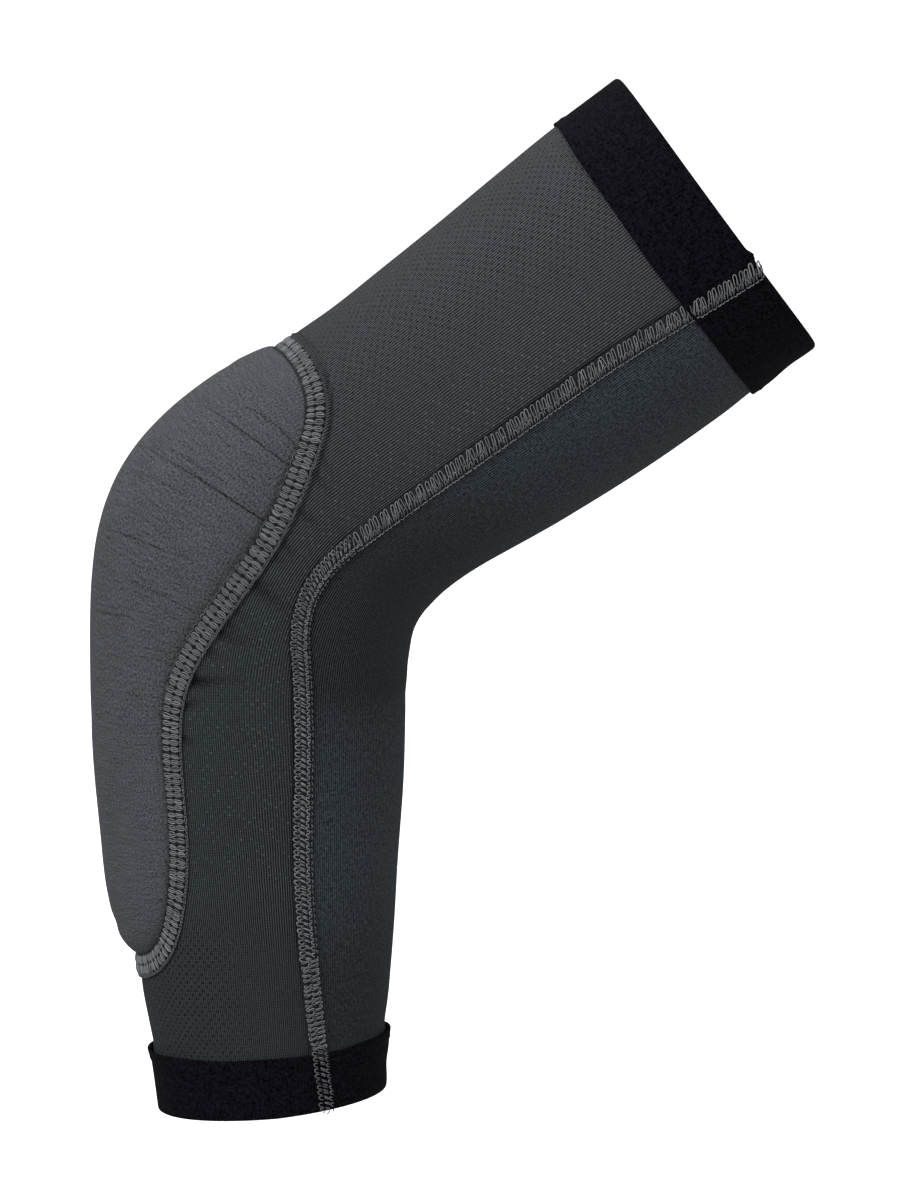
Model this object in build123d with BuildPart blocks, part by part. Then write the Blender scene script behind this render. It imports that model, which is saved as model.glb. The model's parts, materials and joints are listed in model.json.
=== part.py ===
from build123d import *
import os
from math import cos, radians, sin

# A padded elbow sleeve, bent the way it stands when nothing pulls on it.
# The origin is the centre of the upper arm opening. +Z runs up the forearm tube, +X points to
# the crook of the elbow, and Y runs across the arm, so the sleeve is the same on +Y and -Y.
# Lengths are millimetres and angles are degrees.

# Centreline: straight forearm tube, arc round the elbow, straight upper arm tube.
FLEX = 58.0
BEND_RADIUS = 70.0
FOREARM_STRAIGHT = 116.0
UPPER_STRAIGHT = 136.0
ARC_LENGTH = radians(FLEX) * BEND_RADIUS
LENGTH = FOREARM_STRAIGHT + ARC_LENGTH + UPPER_STRAIGHT

# Cloth, foam and thread thicknesses.
WALL = 1.2
COVER = 0.9
THREAD = 0.8
SIDE_SEAM_WIDTH = 6.0
PAD_SEAM_WIDTH = 6.4
PAD_EDGE = 2.4

# The zone that bends lies between two planes square to the chord of the elbow. The hinge is
# the arm's own elbow axis, and each reach is measured from it along that chord.
HINGE_BACK = 7.0
HINGE_RISE = 155.0
UPPER_REACH = 67.0
FOREARM_REACH = 58.0

# Cuffs: outer radius and height of each folded band, and the layers inside the fold.
FOREARM_CUFF_RADIUS = 34.8
FOREARM_CUFF_HEIGHT = 19.5
UPPER_CUFF_RADIUS = 48.6
UPPER_CUFF_HEIGHT = 22.7
BAND = 0.9
BAND_GAP = 1.5
FOLD = 1.1
TUCK = 4.0
OVERLOCK_WIDTH = 4.0
OVERLOCK_THICKNESS = 0.6

# Half-widths of the bare tube along the centreline, from the forearm opening:
# distance, outer side, crook side, and half depth.
FOREARM_END = FOREARM_CUFF_RADIUS - BAND - 0.15
UPPER_END = UPPER_CUFF_RADIUS - BAND - 0.15
BARE = [
    (FOREARM_CUFF_HEIGHT, FOREARM_END, FOREARM_END, FOREARM_END),
    (24, 34.2, 34.6, 34.2),
    (32, 35.2, 36.1, 35.2),
    (50, 36.2, 39.6, 37.4),
    (75, 37.2, 43.1, 39.8),
    (105, 38.2, 46.9, 42.2),
    (130, 40.2, 47.8, 43.8),
    (152, 42.4, 46.5, 44.2),
    (175, 43.6, 43.8, 43.6),
    (200, 45.0, 41.5, 43.0),
    (225, 44.2, 43.4, 43.6),
    (255, 45.4, 46.1, 45.4),
    (280, 46.6, 47.1, 46.7),
    (293, 47.3, 47.6, 47.3),
    (LENGTH - UPPER_CUFF_HEIGHT, UPPER_END, UPPER_END, UPPER_END),
]

# Outer half-width of the padded back along the centreline.
PADDED = [
    (36, 35.8),
    (46, 38.6),
    (52, 40.4),
    (61, 42.2),
    (78, 43.6),
    (98, 44.2),
    (116, 43.9),
    (131, 45.4),
    (145, 49.4),
    (158, 52.4),
    (170, 51.8),
    (188, 47.8),
    (204, 46.0),
    (214, 45.4),
]

# Seam lines in the side view: distance along the centreline, and offset to the crook side.
SIDE_SEAM = [
    (-8, 14.2),
    (22, 13.4),
    (50, 12.9),
    (75, 13.5),
    (100, 15.7),
    (120, 17.0),
    (134, 15.6),
    (148, 12.1),
    (162, 9.9),
    (190, 10.4),
    (245, 11.4),
    (275, 12.1),
    (300, 14.3),
    (332, 16.3),
]
PAD_LINE = [
    (202, -62),
    (202, -44),
    (200, -32),
    (195, -24),
    (186, -17.2),
    (177, -11.7),
    (166, -8.6),
    (156, -8.9),
    (145, -11.5),
    (125, -19.1),
    (115, -21),
    (93, -21.6),
    (72, -22.5),
    (61.5, -24.3),
    (51.5, -27.2),
    (45.5, -31.4),
    (42.5, -36),
    (42.5, -56),
]
FAR = 400.0


def station(s):
    """Plane square to the centreline at distance s, with its x axis to the crook side."""
    turn = radians(FLEX)
    if s <= FOREARM_STRAIGHT:
        angle, x, z = 0.0, 0.0, s
    elif s <= FOREARM_STRAIGHT + ARC_LENGTH:
        angle = (s - FOREARM_STRAIGHT) / BEND_RADIUS
        x = BEND_RADIUS * (1 - cos(angle))
        z = FOREARM_STRAIGHT + BEND_RADIUS * sin(angle)
    else:
        angle = turn
        run = s - FOREARM_STRAIGHT - ARC_LENGTH
        x = BEND_RADIUS * (1 - cos(turn)) + run * sin(turn)
        z = FOREARM_STRAIGHT + BEND_RADIUS * sin(turn) + run * cos(turn)
    shift_x = BEND_RADIUS * (1 - cos(turn)) + UPPER_STRAIGHT * sin(turn)
    shift_z = FOREARM_STRAIGHT + BEND_RADIUS * sin(turn) + UPPER_STRAIGHT * cos(turn)
    return Plane(
        origin=(x - shift_x, 0, z - shift_z),
        x_dir=(cos(angle), 0, -sin(angle)),
        z_dir=(sin(angle), 0, cos(angle)),
    )


def side_point(s, offset):
    """Point of the side view, as sketched on Plane.XZ."""
    place = station(s).from_local_coords(Vector(offset, 0, 0))
    return (place.X, place.Z)


def tube(sections, grow=0.0):
    """Solid tube through egg-shaped sections, every half-width grown by the same amount."""
    with BuildPart() as solid:
        for s, outer, crook, depth in sections:
            with BuildSketch(station(s)):
                with BuildLine():
                    EllipticalCenterArc((0, 0), outer + grow, depth + grow, 90, arc_size=180)
                    EllipticalCenterArc((0, 0), crook + grow, depth + grow, -90, arc_size=180)
                make_face()
        loft()
    return solid.part


def bare_half_widths(s):
    """Outer, crook and depth half-widths of the bare tube, by straight runs between sections."""
    for (s0, *low), (s1, *high) in zip(BARE, BARE[1:]):
        if s <= s1:
            share = (s - s0) / (s1 - s0)
            return [a + (b - a) * share for a, b in zip(low, high)]


def padded_sections():
    """Sections of the padded back: the bare tube with a taller outer side and a puffed edge."""
    sections = []
    for s, outer in PADDED:
        _, crook, depth = bare_half_widths(s)
        sections.append((s, outer, crook + PAD_EDGE, depth + PAD_EDGE))
    return sections


def disc(s, radius, height):
    """Solid disc on the centreline, from distance s upwards."""
    with BuildPart() as solid:
        with BuildSketch(station(s)):
            Circle(radius)
        extrude(amount=height)
    return solid.part


def strip(line, width):
    """Band of constant width along a seam line of the side view, cut right through Y."""
    with BuildPart() as solid:
        with BuildSketch(Plane.XZ):
            with BuildLine():
                Spline(*[side_point(s, offset) for s, offset in line])
            trace(line_width=width)
        extrude(amount=FAR / 4, both=True)
    return solid.part


def side_region(line, corners):
    """Everything between a seam line and far corners of the side view, right through Y."""
    with BuildPart() as solid:
        with BuildSketch(Plane.XZ):
            with BuildLine():
                edge = Spline(*[side_point(s, offset) for s, offset in line])
                Polyline(edge @ 1, *corners, edge @ 0)
            make_face()
        extrude(amount=FAR / 4, both=True)
    return solid.part


def chord_plane(reach):
    """Plane square to the elbow's chord, facing the upper arm, at this reach past the hinge."""
    foot = station(0).origin
    half = radians(FLEX / 2)
    chord = Vector(sin(half), 0, cos(half))
    return Plane(origin=foot + Vector(HINGE_BACK, 0, HINGE_RISE) + chord * reach, z_dir=chord)


UPPER_PLANE = chord_plane(UPPER_REACH)
FOREARM_PLANE = chord_plane(-FOREARM_REACH)
ZONE_CUTS = {
    "upper": [(UPPER_PLANE, Keep.TOP)],
    "elbow": [(UPPER_PLANE, Keep.BOTTOM), (FOREARM_PLANE, Keep.TOP)],
    "forearm": [(FOREARM_PLANE, Keep.BOTTOM)],
}


def write_zones(name, whole, zones):
    """Write one cloth piece as one node for each zone that it crosses."""
    for zone in zones:
        with BuildPart() as piece:
            add(whole)
            for plane, side in ZONE_CUTS[zone]:
                split(bisect_by=plane, keep=side)
        write(f"{zone}_{name}", piece.part)


def write(name, part):
    """Label one finished piece and write it as its own STEP file."""
    part.label = name
    export_step(part, f"parts/{name}.step")


os.makedirs("parts", exist_ok=True)
EVERY_ZONE = ("upper", "elbow", "forearm")
PAD_ZONES = ("elbow", "forearm")
forearm_mouth = station(0)
upper_mouth = station(LENGTH)

# ---- Cutters shared by the cloth pieces ------------------------------------------------------
crook_corners = [(FAR, FAR / 4), (FAR, -FAR), side_point(-40, SIDE_SEAM[0][1])]
crook_region = side_region(SIDE_SEAM, crook_corners)
pad_region = side_region(PAD_LINE, [side_point(42, -120), side_point(201, -120)])
side_strip = strip(SIDE_SEAM, SIDE_SEAM_WIDTH)
pad_strip = strip(PAD_LINE, PAD_SEAM_WIDTH)
foam_margin = strip(PAD_LINE, PAD_SEAM_WIDTH + 2 * COVER)

# ---- Bare tube: the wall that the panels and the pad backing are cut from ---------------------
with BuildPart() as bare_wall:
    add(tube(BARE))
    for start, radius in (
        (FOREARM_CUFF_HEIGHT - TUCK, FOREARM_END),
        (LENGTH - UPPER_CUFF_HEIGHT, UPPER_END),
    ):
        add(disc(start, radius, TUCK))
        add(disc(start, radius - WALL, TUCK), mode=Mode.SUBTRACT)
    add(tube(BARE, -WALL), mode=Mode.SUBTRACT)

with BuildPart() as filled_body:
    add(tube(BARE))
    add(disc(0, FOREARM_CUFF_RADIUS, FOREARM_CUFF_HEIGHT))
    add(disc(LENGTH - UPPER_CUFF_HEIGHT, UPPER_CUFF_RADIUS, UPPER_CUFF_HEIGHT))

# ---- Panels: the front one covers the crook, the back one carries the pad --------------------
with BuildPart() as front_panel:
    add(bare_wall.part)
    add(crook_region, mode=Mode.INTERSECT)
write_zones("front_panel", front_panel.part, EVERY_ZONE)

with BuildPart() as back_panel:
    add(bare_wall.part)
    add(crook_region, mode=Mode.SUBTRACT)
    add(pad_region, mode=Mode.SUBTRACT)
write_zones("back_panel", back_panel.part, EVERY_ZONE)

# ---- Pad: backing cloth, foam, cover and the flat seam round them ----------------------------
with BuildPart() as pad_backing:
    add(bare_wall.part)
    add(pad_region, mode=Mode.INTERSECT)
write_zones("pad_backing", pad_backing.part, PAD_ZONES)

with BuildPart() as pad_foam:
    add(tube(padded_sections(), -COVER))
    add(filled_body.part, mode=Mode.SUBTRACT)
    add(pad_region, mode=Mode.INTERSECT)
    add(foam_margin, mode=Mode.SUBTRACT)
write_zones("pad_foam", pad_foam.part, PAD_ZONES)

with BuildPart() as pad_cover:
    add(tube(padded_sections()))
    add(filled_body.part, mode=Mode.SUBTRACT)
    add(pad_region, mode=Mode.INTERSECT)
    add(pad_strip, mode=Mode.SUBTRACT)
    add(pad_foam.part, mode=Mode.SUBTRACT)
write_zones("pad_cover", pad_cover.part, PAD_ZONES)

with BuildPart() as pad_seam:
    add(tube(BARE, THREAD + 0.4))
    add(filled_body.part, mode=Mode.SUBTRACT)
    add(pad_strip, mode=Mode.INTERSECT)
write_zones("pad_seam", pad_seam.part, PAD_ZONES)

# ---- Side seams: flat thread bands that run on over both cuffs -------------------------------
with BuildPart() as side_seams:
    add(tube(BARE, THREAD))
    add(disc(0, FOREARM_CUFF_RADIUS + THREAD, FOREARM_CUFF_HEIGHT + THREAD))
    add(disc(LENGTH - UPPER_CUFF_HEIGHT - THREAD, UPPER_CUFF_RADIUS + THREAD, UPPER_CUFF_HEIGHT + THREAD))
    add(filled_body.part, mode=Mode.SUBTRACT)
    add(side_strip, mode=Mode.INTERSECT)
for side, keep in (("right", Keep.TOP), ("left", Keep.BOTTOM)):
    with BuildPart() as side_seam:
        add(side_seams.part)
        split(bisect_by=Plane.XZ, keep=keep)
    write_zones(f"{side}_side_seam", side_seam.part, EVERY_ZONE)


# ---- Cuffs: a folded band over a flat elastic, overlocked to the tube ------------------------
def mouth_profile(mouth, into_sleeve):
    """Plane through an opening's axis, with x along the radius and y into the sleeve."""
    z_dir = mouth.x_dir.cross(into_sleeve)
    return Plane(origin=mouth.origin, x_dir=mouth.x_dir, z_dir=z_dir)


def cuff_ring(mouth, into_sleeve, inner, outer, low, high):
    """Ring about an opening's axis, from inner to outer radius and from low to high."""
    with BuildPart() as ring:
        with BuildSketch(mouth_profile(mouth, into_sleeve)):
            with Locations(((inner + outer) / 2, (low + high) / 2)):
                Rectangle(outer - inner, high - low)
        revolve(axis=Axis(mouth.origin, into_sleeve))
    return ring.part


for cuff, mouth, into_sleeve, radius, height in (
    ("forearm", forearm_mouth, forearm_mouth.z_dir, FOREARM_CUFF_RADIUS, FOREARM_CUFF_HEIGHT),
    ("upper", upper_mouth, -upper_mouth.z_dir, UPPER_CUFF_RADIUS, UPPER_CUFF_HEIGHT),
):
    core_outer = radius - BAND
    core_inner = core_outer - BAND_GAP
    bore = core_inner - BAND
    with BuildPart() as cuff_band:
        with BuildSketch(mouth_profile(mouth, into_sleeve)):
            with Locations(((bore + radius) / 2, height / 2)):
                Rectangle(radius - bore, height)
            outer_rim = vertices().group_by(Axis.Y)[0].sort_by(Axis.X)[-1]
            fillet(outer_rim, radius=BAND)
            with Locations(((core_inner + core_outer) / 2, (FOLD + height) / 2)):
                Rectangle(BAND_GAP, height - FOLD, mode=Mode.SUBTRACT)
        revolve(axis=Axis(mouth.origin, into_sleeve))
    write(f"{cuff}_cuff_band", cuff_band.part)

    elastic = cuff_ring(mouth, into_sleeve, core_inner, core_outer, FOLD, height - TUCK)
    write(f"{cuff}_cuff_elastic", elastic)

    with BuildPart() as overlock:
        with BuildSketch(mouth_profile(mouth, into_sleeve)):
            with Locations((bore + OVERLOCK_THICKNESS / 2, height + OVERLOCK_WIDTH / 2)):
                Ellipse(OVERLOCK_THICKNESS / 2, OVERLOCK_WIDTH / 2)
        revolve(axis=Axis(mouth.origin, into_sleeve))
    write(f"{cuff}_cuff_stitching", overlock.part)
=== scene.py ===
import json
import math
from dataclasses import dataclass

import bpy
import numpy as np
from mathutils import Matrix, Vector
from mathutils.bvhtree import BVHTree


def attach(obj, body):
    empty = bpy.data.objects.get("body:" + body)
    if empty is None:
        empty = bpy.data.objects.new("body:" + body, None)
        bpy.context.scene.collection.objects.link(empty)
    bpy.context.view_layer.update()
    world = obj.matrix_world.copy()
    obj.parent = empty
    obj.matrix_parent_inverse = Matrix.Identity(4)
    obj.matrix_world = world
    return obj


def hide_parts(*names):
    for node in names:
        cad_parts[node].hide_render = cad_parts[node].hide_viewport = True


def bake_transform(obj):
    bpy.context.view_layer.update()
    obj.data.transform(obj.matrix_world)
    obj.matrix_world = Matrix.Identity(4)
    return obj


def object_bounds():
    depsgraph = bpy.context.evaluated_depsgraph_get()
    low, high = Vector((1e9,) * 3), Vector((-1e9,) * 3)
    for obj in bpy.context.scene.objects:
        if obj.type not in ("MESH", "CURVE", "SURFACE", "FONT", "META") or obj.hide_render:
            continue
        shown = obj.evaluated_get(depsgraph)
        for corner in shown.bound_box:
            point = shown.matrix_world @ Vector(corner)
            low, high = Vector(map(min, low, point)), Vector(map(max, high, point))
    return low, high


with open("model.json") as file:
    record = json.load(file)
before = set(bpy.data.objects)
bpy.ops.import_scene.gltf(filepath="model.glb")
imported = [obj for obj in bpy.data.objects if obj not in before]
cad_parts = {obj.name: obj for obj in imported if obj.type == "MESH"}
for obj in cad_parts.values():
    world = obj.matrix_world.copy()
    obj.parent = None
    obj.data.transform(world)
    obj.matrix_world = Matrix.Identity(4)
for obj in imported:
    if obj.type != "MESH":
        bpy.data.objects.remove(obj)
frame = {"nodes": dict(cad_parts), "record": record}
cad_low, cad_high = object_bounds()

# A padded elbow sleeve. Everything is in metres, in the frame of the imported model.
# Cloth is laid out in flat coordinates: "t" runs round the arm from the middle of the outer
# side, positive to -Y, and "s" runs along the centreline from the forearm opening.

# ---- Sizes ----
BEND_RADIUS = 0.070
# The radius that turns a distance round the arm into an angle.
GIRTH_RADIUS = 0.042
WALL = 0.0011
FOREARM_CUFF = 0.0195
UPPER_CUFF = 0.0227
SIDE_SEAM_WIDTH = 0.0060
PAD_SEAM_WIDTH = 0.0064
PAD_EDGE_PUFF = 0.0026
PAD_MIDDLE = 0.140
# The pad's outline is drawn in at its upper and lower end, over this angle about its middle.
TOP_DIP = 0.0024
LOW_DIP = 0.0009
DIP_ANGLE = 0.26
STITCH = 0.00175
PAD_STITCH = 0.00192
CUFF_STITCH = 0.0016
# Further out than any point of the sleeve from its centreline, or of the pad from its middle.
FAR = 0.11
ACROSS = np.array([0.0, 1.0, 0.0])
# Creases in the pad's cover: start and end (s, t) of each, how deep it is from 0 to 1, and how
# far it bows along s.
CREASES = (
    ((0.1645, 0.002), (0.1698, 0.060), 1.0, 0.0),
    ((0.1662, 0.006), (0.1705, 0.042), 0.4, 0.0),
    ((0.1766, 0.008), (0.1835, 0.054), 0.8, -0.0006),
    ((0.1812, 0.022), (0.1865, 0.050), 0.7, 0.0014),
    ((0.1605, 0.006), (0.1635, 0.034), 0.4, 0.0),
    ((0.1490, 0.003), (0.1520, 0.036), 0.5, 0.0004),
    ((0.1440, 0.018), (0.1425, 0.050), 0.5, 0.0006),
    ((0.1365, 0.006), (0.1375, 0.030), 0.5, -0.0006),
    ((0.1430, -0.050), (0.1450, -0.012), 0.8, 0.0012),
    ((0.1740, -0.052), (0.1720, -0.028), 0.9, -0.0010),
    ((0.1600, -0.046), (0.1585, -0.020), 0.4, 0.0010),
)
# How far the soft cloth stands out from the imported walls: (distance along the arm, lift).
CROOK_SWELL = (
    (0.020, 0.0), (0.028, 0.0003), (0.040, 0.0), (0.062, -0.0005), (0.090, 0.0), (0.112, -0.0003),
    (0.138, 0.0006), (0.156, 0.0), (0.198, -0.0003), (0.224, 0.0005), (0.244, 0.0005),
    (0.270, 0.0009), (0.290, 0.0004), (0.300, 0.0),
)
OUTER_SWELL = (
    (0.195, 0.0), (0.211, -0.0004), (0.230, 0.0003), (0.257, -0.0002), (0.281, 0.0002), (0.300, 0.0)
)
PAD_SWELL = (
    (0.050, 0.0), (0.062, 0.0002), (0.085, -0.0004), (0.110, -0.0005), (0.138, -0.0011),
    (0.152, -0.0005), (0.170, -0.0006), (0.186, -0.0001), (0.198, 0.0),
)
rng = np.random.default_rng(7)


# ---- The sleeve's shape, read from the frame ----
mounts = {m["name"]: m for m in frame["record"]["mounts"]}
forearm_mouth = np.array(mounts["forearm_opening"]["pos_m"])
upper_mouth = np.array(mounts["upper_arm_opening"]["pos_m"])
upper_along = np.array(mounts["upper_arm_opening"]["axis"])
FOREARM_BORE = mounts["forearm_opening"]["dims"]["r_mm"] / 1000
UPPER_BORE = mounts["upper_arm_opening"]["dims"]["r_mm"] / 1000
FLEX = math.acos(upper_along[2])
upper_axis_length = (upper_mouth[0] - forearm_mouth[0]) / upper_along[0]
corner_rise = upper_mouth[2] - upper_axis_length * upper_along[2] - forearm_mouth[2]
TANGENT = BEND_RADIUS * math.tan(FLEX / 2)
FOREARM_STRAIGHT = corner_rise - TANGENT
ARC_LENGTH = BEND_RADIUS * FLEX
LENGTH = FOREARM_STRAIGHT + ARC_LENGTH + upper_axis_length - TANGENT

chord = upper_along + np.array([0.0, 0.0, 1.0])
chord = chord / np.linalg.norm(chord)


def station(s):
    """Centre, direction to the crook and direction along the arm at distance s."""
    s = np.asarray(s, float)
    angle = np.clip((s - FOREARM_STRAIGHT) / BEND_RADIUS, 0, FLEX)
    before = np.minimum(s, FOREARM_STRAIGHT)
    after = np.maximum(s - FOREARM_STRAIGHT - ARC_LENGTH, 0)
    flat = np.zeros_like(angle)
    x = forearm_mouth[0] + BEND_RADIUS * (1 - np.cos(angle)) + after * math.sin(FLEX)
    z = forearm_mouth[2] + before + BEND_RADIUS * np.sin(angle) + after * math.cos(FLEX)
    centre = np.stack([x, flat, z], -1)
    crook = np.stack([np.cos(angle), flat, -np.sin(angle)], -1)
    along = np.stack([np.sin(angle), flat, np.cos(angle)], -1)
    return centre, crook, along


def bell(x, width):
    """Bell curve: 1 at 0, and close to 0 at twice this width."""
    return np.exp(-((x / width) ** 2))


def smooth_curve(xs, ys):
    """Function through the samples that is smooth at each of them."""
    slopes = np.gradient(ys, xs)

    def value(x):
        x = np.clip(x, xs[0], xs[-1])
        i = np.clip(np.searchsorted(xs, x) - 1, 0, len(xs) - 2)
        width = xs[i + 1] - xs[i]
        f = (x - xs[i]) / width
        start = (1 + 2 * f) * (1 - f) ** 2 * ys[i] + f * (1 - f) ** 2 * width * slopes[i]
        end = f * f * (3 - 2 * f) * ys[i + 1] + f * f * (f - 1) * width * slopes[i + 1]
        return start + end

    return value


def solid_of(*names):
    """Ray target made of several CAD nodes."""
    points, faces = [], []
    for name in names:
        mesh = frame["nodes"][name].data
        first = len(points)
        points += [v.co.copy() for v in mesh.vertices]
        faces += [[first + i for i in p.vertices] for p in mesh.polygons]
    return BVHTree.FromPolygons(points, faces)


ZONES = ("upper", "elbow", "forearm")
front_solid = solid_of(*[f"{z}_front_panel" for z in ZONES])
back_solid = solid_of(*[f"{z}_back_panel" for z in ZONES])
backing_solid = solid_of("elbow_pad_backing", "forearm_pad_backing")
pad_solid = solid_of("elbow_pad_cover", "forearm_pad_cover")
ONE_WALL = (front_solid, back_solid, backing_solid)


def reach_of(targets, s, theta):
    """Distance from the centreline to the outside of the first target met from outside."""
    centre, crook, _ = station(s)
    out = math.cos(theta) * crook + math.sin(theta) * ACROSS
    found = [0.0]
    for target in targets:
        hit = target.ray_cast(Vector(centre + out * FAR), Vector(-out), FAR)
        if hit[0] is not None:
            found.append(FAR - hit[3])
    return max(found)


BARE_START = FOREARM_CUFF + 0.001
BARE_END = LENGTH - UPPER_CUFF - 0.001


def half_width(targets, theta, swell=((0.0, 0.0), (LENGTH, 0.0))):
    """Distance from the centreline to the cloth at this angle, as a curve along the arm."""
    probe = np.linspace(BARE_START, BARE_END, 38)
    reach = np.array([reach_of(targets, s, theta) for s in probe])
    return smooth_curve(probe, reach + smooth_curve(*np.array(swell).T)(probe))


crook_half = half_width(ONE_WALL, 0.0, CROOK_SWELL)
outer_half = half_width(ONE_WALL, math.pi, OUTER_SWELL)
depth_half = half_width(ONE_WALL, math.pi / 2)
padded_half = half_width((*ONE_WALL, pad_solid), math.pi, PAD_SWELL)


def on_sleeve(s, theta, lift=0.0):
    """Points on the outside of the bare sleeve, lifted along its normal, and the normals."""
    s, theta, lift = np.broadcast_arrays(np.asarray(s, float), theta, lift)
    centre, crook, _ = station(s)
    c, q = np.cos(theta), np.sin(theta)
    side = np.where(c > 0, crook_half(s), outer_half(s))
    depth = depth_half(s)
    normal = (depth * c)[..., None] * crook + (side * q)[..., None] * ACROSS
    normal = normal / np.linalg.norm(normal, axis=-1, keepdims=True)
    point = centre + (side * c)[..., None] * crook + (depth * q)[..., None] * ACROSS
    return point + lift[..., None] * normal, normal


def theta_of(t):
    """Angle round the arm of flat coordinate t."""
    return math.pi + np.asarray(t) / GIRTH_RADIUS


def inside(target, s, t):
    """True where a CAD wall piece lies under this flat point."""
    lift = 0.0008
    point, normal = on_sleeve(s, theta_of(t), lift)
    return target.ray_cast(Vector(point), Vector(-normal), 2 * lift)[0] is not None


def last_inside(target, path):
    """Share of a straight flat path, 0 to 1, at which it leaves a CAD wall piece."""
    low, high = 0.0, 1.0
    for _ in range(14):
        middle = (low + high) / 2
        s, t = path(middle)
        if inside(target, s, t):
            low = middle
        else:
            high = middle
    return (low + high) / 2


def side_edge_at(s):
    """Flat coordinate, on the -Y side, of the line where the front panel starts."""
    crook_line = math.pi * GIRTH_RADIUS
    share = last_inside(front_solid, lambda f: (s, crook_line * (1 - f * 0.75)))
    return crook_line * (1 - share * 0.75)


def seam_line():
    """Line of the side seam as a curve along the arm, carried on straight over both cuffs."""
    s = np.linspace(BARE_START, BARE_END, 40)
    t = np.array([side_edge_at(each) for each in s])
    step = s[1] - s[0]
    extra = int(0.030 / step) + 1
    down, up = np.arange(extra, 0, -1), np.arange(1, extra + 1)
    below = t[0] + (t[0] - t[2]) / 2 * down
    above = t[-1] + (t[-1] - t[-4]) / 3 * up
    long_s = np.concatenate([s[0] - step * down, s, s[-1] + step * up])
    return smooth_curve(long_s, np.concatenate([below, t, above]))


side_line = seam_line()


def pad_reach_at(angle):
    """Distance from the pad's middle to its outline, in flat coordinates."""
    return FAR * last_inside(
        backing_solid,
        lambda f: (PAD_MIDDLE + FAR * f * math.cos(angle), FAR * f * math.sin(angle)),
    )


def outline_line():
    """Distance from the pad's middle to its outline as a curve of the angle."""
    half_turn = 120
    turns = np.linspace(0, math.pi, half_turn + 1)
    reach = np.array([pad_reach_at(a) for a in turns])
    reach -= TOP_DIP * bell(turns, DIP_ANGLE)
    reach -= LOW_DIP * bell(math.pi - turns, DIP_ANGLE)
    kernel = np.array([1, 2, 3, 2, 1]) / 9
    ring = np.concatenate([reach, reach[-2:0:-1]])
    ring = np.convolve(np.concatenate([ring[-2:], ring, ring[:2]]), kernel, "valid")
    around = np.linspace(-math.pi, 3 * math.pi, 4 * half_turn + 1)
    return smooth_curve(around, np.take(ring, np.arange(-half_turn, 3 * half_turn + 1), mode="wrap"))


outline_reach = outline_line()


def pad_outline(angle, outset=0.0):
    """Flat point (s, t) of the pad's outline seen from its middle, moved outwards."""
    angle = np.asarray(angle, float)
    step = 0.01
    reach = outline_reach(np.mod(angle, 2 * math.pi))
    ahead = outline_reach(np.mod(angle + step, 2 * math.pi))
    s, t = reach * np.cos(angle), reach * np.sin(angle)
    ds = ahead * np.cos(angle + step) - s
    dt = ahead * np.sin(angle + step) - t
    size = np.hypot(ds, dt)
    return PAD_MIDDLE + s + outset * dt / size, t - outset * ds / size


outline_dense = np.stack(pad_outline(np.linspace(0, 2 * math.pi, 721)[:-1]), -1)


def edge_distance(s, t):
    """Distance from flat points to the pad's outline, positive on the pad."""
    flat = np.stack([np.ravel(s), np.ravel(t)], -1)
    gap = np.full(len(flat), 1.0)
    for block in range(0, len(flat), 2000):
        part = flat[block:block + 2000, None] - outline_dense[None]
        gap[block:block + 2000] = np.sqrt((part ** 2).sum(-1).min(-1))
    angle = np.arctan2(flat[:, 1], flat[:, 0] - PAD_MIDDLE)
    reach = np.hypot(flat[:, 1], flat[:, 0] - PAD_MIDDLE)
    sign = np.where(reach < outline_reach(np.mod(angle, 2 * math.pi)), 1.0, -1.0)
    return (gap * sign).reshape(np.shape(s))


# ---- Meshes ----
def grid_faces(rows, cols, wrap_rows=False, wrap_cols=False):
    """Quads of a grid of points that is stored row by row."""
    i = np.arange(rows if wrap_rows else rows - 1)[:, None]
    j = np.arange(cols if wrap_cols else cols - 1)[None, :]
    down, right = (i + 1) % rows, (j + 1) % cols
    quads = [i * cols + j, i * cols + right, down * cols + right, down * cols + j]
    return np.stack(quads, -1).reshape(-1, 4)


class Piece:
    """Collects points, faces and cloth coordinates, and makes one object of them."""

    def __init__(self):
        self.points, self.weave, self.faces, self.slots, self.count = [], [], [], [], 0

    def add(self, points, faces, weave, slot=0):
        """Add points, their cloth coordinates, and faces that count from the first of them."""
        points = np.reshape(points, (-1, 3))
        self.points.append(points)
        self.weave.append(np.broadcast_to(np.reshape(weave, (-1, 3)), points.shape))
        self.faces += [[self.count + int(i) for i in face] for face in faces]
        self.slots += [slot] * len(faces)
        self.count += len(points)

    def make(self, name, *materials):
        mesh = bpy.data.meshes.new(name)
        mesh.from_pydata(np.concatenate(self.points).tolist(), [], self.faces)
        mesh.attributes.new("weave", "FLOAT_VECTOR", "POINT").data.foreach_set(
            "vector", np.concatenate(self.weave).astype(np.float32).ravel()
        )
        for material in materials:
            mesh.materials.append(material)
        mesh.polygons.foreach_set("material_index", self.slots)
        mesh.polygons.foreach_set("use_smooth", [True] * len(mesh.polygons))
        piece = bpy.data.objects.new(name, mesh)
        bpy.context.scene.collection.objects.link(piece)
        return piece


def weave_at(s, t, mark=0.0):
    """Cloth coordinates of flat points: round the arm, along the arm, and a mark for shading."""
    return np.stack(np.broadcast_arrays(t, s, mark), -1)


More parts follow.
